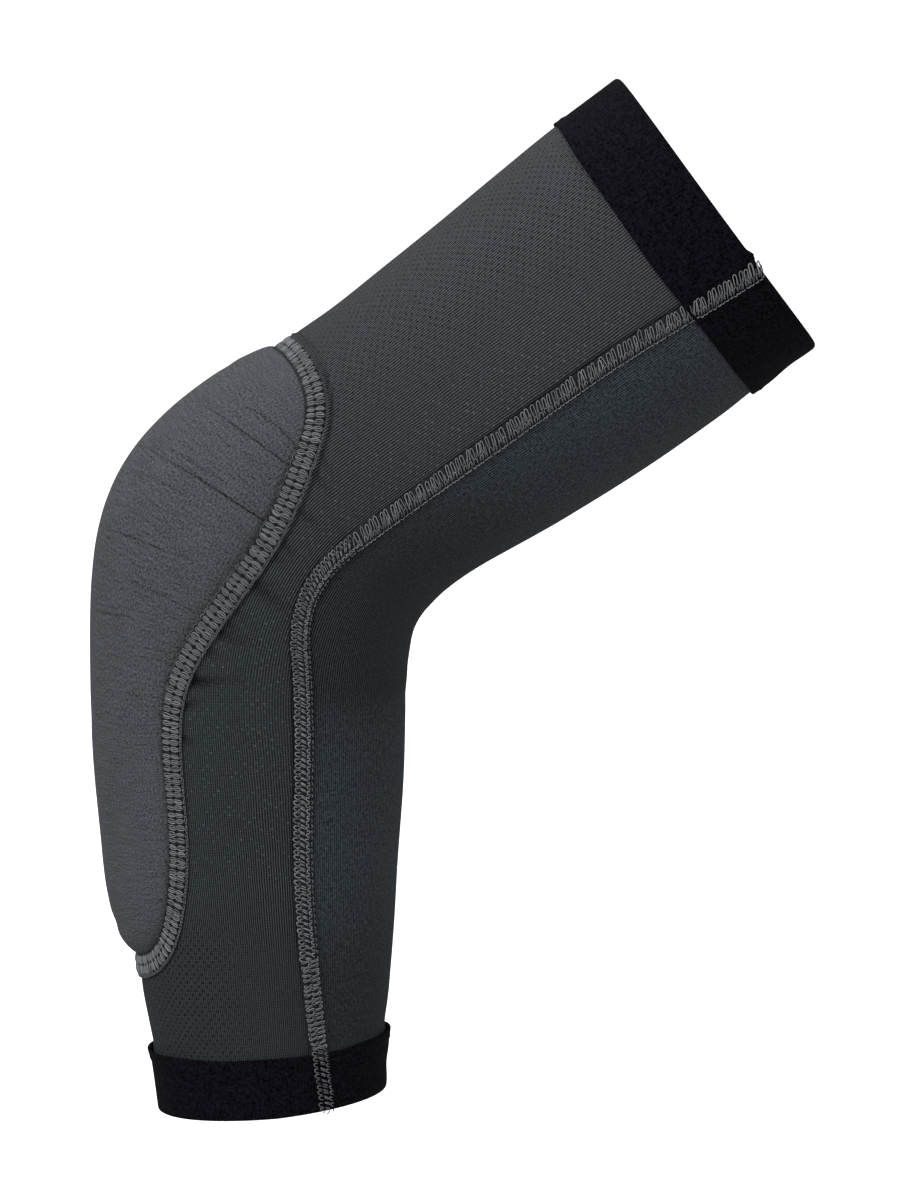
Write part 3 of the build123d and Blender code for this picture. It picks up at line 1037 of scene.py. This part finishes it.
def make_pad_seam():
    s, t = pad_outline(np.linspace(0, 2 * math.pi, 1201))
    point, normal = on_sleeve(s, theta_of(t), -0.0007 * ramp(s, 0.188, 0.198))
    seam = Seam(point, normal, flip=-1.0, closed=True)
    half = PAD_SEAM_WIDTH / 2
    section = ridge_profile(PAD_SEAM_WIDTH + 0.0004, 0.00060, -WALL - 0.0002)
    add_band(seam, section, shade=pad_seam_shade)
    places = seam.places(PAD_STITCH, 0.00014)
    for edges in ((-0.0028, 0.00006), (-0.00006, 0.0030)):
        bundles(seam, places, 1, edges, height=0.00036, radius=0.00017, base=0.00046)
    edge_loops(
        seam, places, 1, PAD_STITCH, edge=-0.0028, out=-0.00060,
        height=0.00032, radius=0.00015, base=0.00022,
    )
    small = PAD_STITCH / 2
    for edge, radius in ((0.0029, 0.00015), (half + 0.00015, 0.00013)):
        edge_loops(
            seam, seam.places(small), 2, small, edge, out=0.00035,
            height=0.00030, radius=radius, base=0.00020, points=6,
        )
    rungs(
        seam, seam.places(PAD_STITCH), 2, (-half, half), slant=0.0006,
        height=-0.00025, radius=0.00022, base=UNDER_SEAM, points=5, sides=5,
    )
    made = seam.piece.make("pad_seam", pad_seam_cloth, light_thread, grey_thread)
    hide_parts("elbow_pad_seam", "forearm_pad_seam")
    across_elbow(made)


make_front_panel()
make_back_panel()
make_pad_cover()
make_pad_foam()
make_pad_backing()
make_pad_seam()


# ---- Cuffs ----
BAND = 0.0009


@dataclass
class Cuff:
    """A folded band round one opening, in distances from its rim towards the sleeve."""

    body: str
    name: str
    mouth: np.ndarray
    along_in: np.ndarray
    crook: np.ndarray
    height: float
    rim: float
    top: float
    bore: float
    flip: bool
    # How far the rim and the top bow in at the sides, and the top at the crook and outer side.
    bow_rim: float
    bow_top: float
    end_top: float = 0.0
    # How far the rim leans in and narrows at the crook, and the top stands out.
    tilt: float = 0.0
    taper: float = 0.0
    curl: float = 0.0
    # Where the side seams push the rim out, from 0 at the crook to pi at the outer side.
    nub: float = None

    def bend(self, depth, theta):
        """Real distance from the mouth's plane of a nominal distance, as the band bows."""
        share = np.clip(depth / self.height, 0, 1)
        side = np.sin(theta) ** 2
        lift = (self.bow_rim * (1 - share) + self.bow_top * share) * side
        lift = lift + self.end_top * share * (1 - side)
        lift = lift + self.tilt * (1 - share) * np.maximum(np.cos(theta), 0)
        wave = 0.00025 * np.sin(3 * theta + 1.0) + 0.0002 * np.sin(7 * theta)
        if self.nub is not None:
            gap = np.arccos(np.clip(np.cos(np.abs(np.sin(theta / 2)) * math.pi - self.nub), -1, 1))
            lift = lift - 0.0009 * bell(gap, 0.035) * ramp(-depth, -0.004, 0.0)
        return depth + lift + wave * ramp(share, 0.5, 1.0) * 0.8

    def nominal(self, depth, theta):
        """Nominal distance of a real one."""
        guess = depth
        for _ in range(3):
            guess = guess - (self.bend(guess, theta) - depth)
        return guess

    def outside(self, depth, theta):
        """Radius of the band's outside face."""
        share = np.clip(depth / self.height, 0, 1)
        flare = self.curl * ramp(share, 0.80, 1.0) * (0.35 + 0.65 * np.cos(theta) ** 2)
        ridge = 0.00022 * bell(depth - self.height + 0.0028, 0.0007)
        wave = 0.00022 * np.sin(2 * theta + 0.6) + 0.00016 * np.sin(5 * theta + 2 * share)
        crook_side = ramp(np.cos(theta), 0.2, 1.0)
        ruck = (0.00020 * np.sin(share * 9.0 + 1.0) - self.taper * (1 - share)) * crook_side
        return self.rim + (self.top - self.rim) * share + flare + ridge + wave + ruck

    def place(self, depth, radius, theta):
        """Points at a nominal distance from the rim, a radius and an angle from the crook."""
        depth, radius, theta = np.broadcast_arrays(depth, radius, theta)
        centre = self.mouth + self.along_in * self.bend(depth, theta)[..., None]
        return centre + self.out(theta) * radius[..., None]

    def out(self, theta):
        """Direction away from the cuff's axis."""
        theta = np.asarray(theta, float)
        return np.cos(theta)[..., None] * self.crook + np.sin(theta)[..., None] * ACROSS

    def faces(self, rows, cols, closed):
        made = grid_faces(rows, cols, wrap_rows=closed, wrap_cols=True)
        return made[:, ::-1] if self.flip else made


start_centre, start_crook, start_along = (part[0] for part in station([0.0]))
end_centre, end_crook, end_along = (part[0] for part in station([LENGTH]))
forearm_cuff = Cuff(
    "forearm", "forearm", start_centre, start_along, start_crook, FOREARM_CUFF,
    rim=0.0337, top=0.0349, bore=FOREARM_BORE, flip=False,
    bow_rim=-0.0002, bow_top=-0.0027, end_top=-0.0012, tilt=0.0013, taper=0.0009, curl=0.0006,
)
upper_cuff = Cuff(
    "upper_arm", "upper", end_centre, -end_along, end_crook, UPPER_CUFF,
    rim=0.0482, top=0.0484, bore=UPPER_BORE, flip=True,
    bow_rim=0.0010, bow_top=0.0020, curl=0.0002,
    nub=abs(math.sin(theta_of(float(side_line(LENGTH)) - 0.0042) / 2)) * math.pi,
)
ROUND = 300
all_round = np.linspace(0, 2 * math.pi, ROUND, endpoint=False)[None]


def make_cuff_band(cuff):
    """Band folded over at the rim: up the inside, round the fold and down the outside."""
    name = f"{cuff.name}_cuff_band"
    theta = all_round
    inner = cuff.bore + BAND / 2
    fold = (cuff.rim - BAND / 2 - inner) / 2
    down = np.linspace(cuff.height - 0.0016, fold, 14)
    up = np.linspace(fold, cuff.height, 34)
    turn = np.linspace(0, math.pi, 9)[1:-1]
    depth = np.concatenate([down, fold * (1 - np.sin(turn)), up])[:, None]
    bare = np.concatenate([0 * down, (1 - np.cos(turn)) / 2, 1 + 0 * up])[:, None]
    outside = cuff.outside(depth, theta) - BAND / 2
    radius = inner + (outside - inner) * bare
    points = cuff.place(depth, radius, theta)
    down_steps = np.diff(depth[:, 0], prepend=depth[0, 0])
    out_steps = np.diff(radius[:, 0], prepend=radius[0, 0])
    run = np.cumsum(np.hypot(down_steps, out_steps))
    piece = Piece()
    piece.add(points, cuff.faces(len(depth), ROUND, False), weave_at(run[:, None], theta * cuff.rim))
    made = piece.make(name, cuff_knit)
    bake_modifier(made, "SOLIDIFY", thickness=BAND, offset=0.0, use_even_offset=True)
    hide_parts(name)
    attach(made, cuff.body)


def make_cuff_elastic(cuff):
    """Flat woven elastic between the band's two layers."""
    name = f"{cuff.name}_cuff_elastic"
    theta = all_round
    inner = cuff.bore + BAND + 0.00012
    outer = cuff.rim - BAND - 0.00045
    low, high = 0.0035, cuff.height - 0.0065
    edge = 0.0002
    flat = np.linspace(low + 0.001, high - 0.001, 9)
    depth = np.array([low, low, low + edge, *flat, high - edge, high, high])
    chamfer = np.array([edge, edge, 0.0, *(0 * flat), 0.0, edge, edge])
    depth = np.concatenate([depth, depth[::-1]])[:, None]
    radius = np.concatenate([outer - chamfer, inner + chamfer])[:, None]
    ribs = 0.00008 * np.cos(theta * 90) * (radius > (inner + outer) / 2)
    points = cuff.place(depth, radius + ribs, theta)
    piece = Piece()
    piece.add(points, cuff.faces(len(depth), ROUND, True), weave_at(depth, theta * cuff.rim))
    made = piece.make(name, elastic_weave)
    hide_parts(name)
    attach(made, cuff.body)


def make_cuff_stitching(cuff):
    """Overlock stitches on the inside, where the sleeve's edge is joined to the band."""
    name = f"{cuff.name}_cuff_stitching"
    theta = np.linspace(0, 2 * math.pi, 1201) * (1 if cuff.flip else -1)
    point = cuff.place(cuff.height + 0.0002, cuff.bore + 0.0004, theta)
    seam = Seam(point, -cuff.out(theta), closed=True)
    add_band(seam, ridge_profile(0.0034, 0.0001, -0.0005))
    half = 0.0018
    rungs(
        seam, seam.places(CUFF_STITCH), 1, (-half, half), slant=0.0007,
        height=0.0003, radius=0.00020,
    )
    for edge, out in ((-half, -0.0003), (half, 0.0003)):
        edge_loops(
            seam, seam.places(CUFF_STITCH), 1, CUFF_STITCH, edge, out,
            height=0.0002, radius=0.00016,
        )
    made = seam.piece.make(name, seam_cloth, black_thread)
    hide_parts(name)
    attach(made, cuff.body)


for each in (forearm_cuff, upper_cuff):
    make_cuff_band(each)
    make_cuff_elastic(each)
    make_cuff_stitching(each)


# ---- Side seams ----
LADDER_END = 0.047
LADDER_STITCH = 0.00146
SMALL_START = 0.124
LOOPS_START = 0.174


def side_seam(sign):
    """Side seam from rim to rim, over both cuffs; sign is 1 on the -Y side."""
    s = np.linspace(-0.0004, LENGTH + 0.0004, 700)
    theta = theta_of(side_line(s) * sign)
    point, normal = on_sleeve(s, theta)
    for cuff, depth in ((forearm_cuff, s), (upper_cuff, LENGTH - s)):
        near = depth < cuff.height + 0.002
        over = ramp(-depth, -cuff.height - 0.0012, -cuff.height + 0.0006)[:, None]
        fold = 0.0012 * ramp(-depth, -0.0012, 0.0004)
        flat = cuff.nominal(depth, theta)
        raised = cuff.place(flat, cuff.outside(flat, theta) - fold, theta)
        point = np.where(near[:, None], point * (1 - over) + raised * over, point)
        normal = np.where(near[:, None], normal * (1 - over) + cuff.out(theta) * over, normal)
    return Seam(point, normal, flip=sign)


def slanted_loops(seam, starts, slot, base, radius, size=1.0):
    """Leaning loops, rounded at the back edge and open towards the crook."""
    turn = np.linspace(0, math.pi, 7)[1:-1]
    legs = np.linspace(0, 1, 5)
    foot, neck = 0.0005, -0.0021
    leg = foot + (neck - foot) * legs
    across = np.concatenate([leg, neck - 0.0007 * np.sin(turn), leg[::-1]])
    half = 0.00046 * size
    run = np.concatenate([-half + 0 * legs, -half * np.cos(turn), half + 0 * legs])
    lean = (foot - across) / 0.0036 * 0.0010
    high = 0.00034 * np.sin(np.clip((0.0031 - across) / 0.0064, 0.08, 0.92) * math.pi)
    run = starts[:, None] + run * uneven(starts, 0.14, 1) + lean * uneven(starts, 0.3, 1)
    across = across * size + uneven(starts, 0.00020)
    up = base + high + uneven(starts, 0.00003)
    seam.sew(slot, run, across, up, radius, uneven(starts, 0.15))


def small_hooks(seam, starts, slot, middle, base, long, wide=0.0009, radius=0.00019):
    """Small C-shaped stitches along one edge. A negative width turns them round."""
    turn = np.linspace(-0.66, 0.66, 9)[None] * math.pi
    reach = wide * uneven(starts, 0.13, 1)
    across = middle - reach * np.cos(turn) + uneven(starts, 0.00010)
    run = starts[:, None] + long * np.sin(turn) + 0.0003 * np.cos(turn)
    up = base + 0.00022 * (1 + np.cos(turn)) * 0.7
    seam.sew(slot, run, across, up, radius, uneven(starts, 0.16))


def edge_dashes(seam, starts, slot, pitch, edge):
    """Broken line of thread along the crook edge of a side seam."""
    edge_loops(
        seam, starts, slot, pitch, edge, out=0.00030,
        height=0.00026, radius=0.00015, base=0.00026, points=6,
    )


def frayed_ends(seam, at, slot, count):
    """Cut thread ends that stick out past the forearm cuff's rim."""
    share = np.linspace(0, 1, 9)
    run = np.full(9, at)
    for _ in range(count):
        reach = rng.uniform(0.0006, 0.0014)
        across = rng.uniform(-0.0026, 0.0030) + rng.uniform(-0.0016, 0.0016) * share ** 2
        up = 0.0003 + rng.uniform(-0.0008, 0.0018) * share ** 1.5
        tail = seam.place(run[:1])[0] - seam.place(run[:1] + 0.002)[0]
        tail = tail / np.linalg.norm(tail)
        line = seam.place(run, across, up) + tail * (reach * share)[:, None]
        add_threads(seam.piece, [line], [seam.up_at(run)], 0.00017, slot, sides=5)


def flat_stitches(seam, ends, pitch=STITCH, radius=0.00018, sparse=False):
    """Stitch pattern of the forearm: hooks, slanting strokes, round knots and a broken edge line."""
    places = seam.places(pitch, ends=ends)
    bright = 1 if sparse else 2
    small_hooks(seam, places, bright, -0.0019, base=0.00034, long=pitch * 0.34, radius=radius)
    for shift in (-0.00024, 0.00024):
        strokes = seam.places(pitch, 0.00012, ends) + shift
        rungs(
            seam, strokes, bright, (-0.0010, 0.0006), slant=-0.0009,
            height=0.00030, radius=radius, base=0.00038,
        )
    knots = seam.places(pitch, 0.00014, ends) + pitch / 2
    small_hooks(
        seam, knots, bright, 0.0016, base=0.00036, long=pitch * 0.28, wide=0.0007, radius=radius
    )
    if sparse:
        return
    for starts, middle, wide in ((places, -0.0010, 0.0006), (knots, 0.0012, -0.0006)):
        small_hooks(
            seam, starts + pitch / 2, 1, middle, base=0.00030, long=pitch * 0.26, wide=wide
        )
    edge_dashes(seam, seam.places(pitch, 0.00014, ends), 1, pitch * 0.7, 0.0024)


def ladder_stitches(seam, ends):
    """Stitch pattern above the forearm cuff: two uneven rows of short strokes that nearly meet."""
    fine = {"base": 0.00032, "radius": 0.00014}
    for edges, hook in (((-0.0022, -0.0003), -0.0019), ((0.0001, 0.0022), 0.0001)):
        places = seam.places(LADDER_STITCH, 0.00016, ends)
        for shift, slot in ((-0.00020, 1), (0.00020, 2)):
            rungs(
                seam, places + shift, slot, edges, slant=0.0003,
                height=0.00030, radius=0.00015, base=0.00036,
            )
        small_hooks(seam, places, 2, hook, long=0.00045, wide=0.0007, **fine)
    knots = seam.places(LADDER_STITCH, 0.00014, ends)
    small_hooks(seam, knots, 2, 0.0019, long=0.00040, wide=-0.0007, **fine)


def looped_stitches(seam, ends):
    """Stitch pattern of the upper arm: tall loops over thin strokes, and small loops by the crook."""
    loops = seam.places(STITCH, ends=(ends[0], ends[1] - 0.0046))
    slanted_loops(seam, loops, 2, base=0.00036, radius=0.00014)
    last = ends[1] - np.array([0.0036, 0.0010])
    slanted_loops(seam, last, 2, base=0.00050, radius=0.00023, size=1.25)
    for shift in (0.0, STITCH / 2):
        strokes = seam.places(STITCH, 0.00026, ends) + shift
        rungs(
            seam, strokes, 1, (0.0024, -0.0012), slant=0.0014,
            height=0.00026, radius=0.00013, base=0.00034,
        )
    hooks = seam.places(STITCH, 0.00016, ends)
    small_hooks(seam, hooks, 2, 0.0013, base=0.00040, long=0.00055, wide=0.0011, radius=0.00012)
    dash = STITCH * 0.8
    edge_dashes(seam, seam.places(dash, 0.00014, ends), 2, dash, 0.0025)


def make_side_seam(name, sign):
    seam = side_seam(sign)
    stop = seam.length
    cloth = (FOREARM_CUFF - 0.003, stop - UPPER_CUFF + 0.003)
    section = ridge_profile(SIDE_SEAM_WIDTH - 0.0003, 0.00035, -WALL - 0.0002)
    add_band(seam, section, ends=cloth)
    flat_stitches(seam, (0.0008, FOREARM_CUFF), sparse=True)
    ladder_stitches(seam, (FOREARM_CUFF, LADDER_END))
    flat_stitches(seam, (LADDER_END - 0.0008, SMALL_START))
    flat_stitches(seam, (SMALL_START, LOOPS_START), pitch=0.00148, radius=0.00013)
    looped_stitches(seam, (LOOPS_START, stop - 0.0008))
    rungs(
        seam, seam.places(STITCH, ends=cloth), 1, (-0.0026, 0.0026), slant=0.0006,
        height=-0.00025, radius=0.0002, base=UNDER_SEAM, points=5,
    )
    frayed_ends(seam, 0.0004, 1, count=3)
    made = seam.piece.make(name, seam_cloth, grey_thread, side_thread)
    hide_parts(*[f"{z}_{name}" for z in ZONES])
    across_elbow(made)


make_side_seam("right_side_seam", 1.0)
make_side_seam("left_side_seam", -1.0)


# ---- Stage ----
CAMERA_TARGET = Vector((-0.0856, 0.0, -0.106))
CAMERA_DISTANCE = 2.5
# Turn to the side, rise and roll, in degrees.
CAMERA_TURN = (-2.0, 6.2, 4.5)
FRAME_HEIGHT = 0.348
SENSOR_MM = 36


def make_camera():
    """Long lens from the -Y side, a little above and rolled as the view is."""
    turn, rise, roll = (math.radians(a) for a in CAMERA_TURN)
    level_share = math.cos(rise)
    back = Vector((math.sin(turn) * level_share, -math.cos(turn) * level_share, math.sin(rise)))
    level = Vector((math.cos(turn), math.sin(turn), 0))
    upright = back.cross(level)
    right = level * math.cos(roll) - upright * math.sin(roll)
    up = level * math.sin(roll) + upright * math.cos(roll)
    camera = bpy.data.objects.new("camera", bpy.data.cameras.new("camera"))
    bpy.context.scene.collection.objects.link(camera)
    place = Matrix.Translation(CAMERA_TARGET + back * CAMERA_DISTANCE)
    camera.matrix_world = place @ Matrix((right, up, back)).transposed().to_4x4()
    camera.data.sensor_fit = "VERTICAL"
    camera.data.sensor_height = SENSOR_MM
    camera.data.lens = SENSOR_MM * CAMERA_DISTANCE / FRAME_HEIGHT
    camera.data.clip_end = 100
    bpy.context.scene.camera = camera


def make_light(name, place, size, power):
    """Round soft light at a place from the camera's target, turned to it."""
    lamp = bpy.data.lights.new(name, "AREA")
    lamp.shape = "DISK"
    lamp.size = size
    lamp.energy = power
    light = bpy.data.objects.new(name, lamp)
    light.location = CAMERA_TARGET + Vector(place)
    light.rotation_euler = (-Vector(place)).to_track_quat("-Z", "Y").to_euler()
    bpy.context.scene.collection.objects.link(light)


def make_world():
    """White surround, dimmer as a light than it looks."""
    world = bpy.data.worlds.new("studio")
    world.use_nodes = True
    bpy.context.scene.world = world
    nodes, links = world.node_tree.nodes, world.node_tree.links
    seen = nodes.new("ShaderNodeLightPath")
    mix = nodes.new("ShaderNodeMix")
    mix.inputs["A"].default_value = 0.42
    mix.inputs["B"].default_value = 1.0
    links.new(seen.outputs["Is Camera Ray"], mix.inputs["Factor"])
    links.new(mix.outputs["Result"], nodes["Background"].inputs["Strength"])
    nodes["Background"].inputs["Color"].default_value = (1, 1, 1, 1)


def make_floor():
    """Glowing white floor below the sleeve, which lights nothing and shows in no reflection."""
    drop = float(cad_low[2]) - 0.012
    half = 40.0
    mesh = bpy.data.meshes.new("floor")
    corners = [(x * half, y * half, drop) for x, y in ((-1, -1), (1, -1), (1, 1), (-1, 1))]
    mesh.from_pydata(corners, [], [(0, 1, 2, 3)])
    floor = bpy.data.objects.new("floor", mesh)
    bpy.context.scene.collection.objects.link(floor)
    paint = bpy.data.materials.new("pale_floor")
    paint.use_nodes = True
    shader = paint.node_tree.nodes["Principled BSDF"]
    shader.inputs["Base Color"].default_value = (0.6, 0.6, 0.6, 1)
    shader.inputs["Roughness"].default_value = 1.0
    shader.inputs["Emission Color"].default_value = (1, 1, 1, 1)
    shader.inputs["Emission Strength"].default_value = 1.0
    mesh.materials.append(paint)
    floor.visible_diffuse = False
    floor.visible_glossy = False


make_camera()
make_world()
make_floor()
make_light("key", (-1.3, -1.5, 1.5), 0.9, 34)
make_light("top", (-0.2, 0.7, 1.8), 1.2, 16)
make_light("fill", (1.6, -1.6, 0.3), 1.6, 8)
bpy.context.scene.view_settings.view_transform = "Standard"
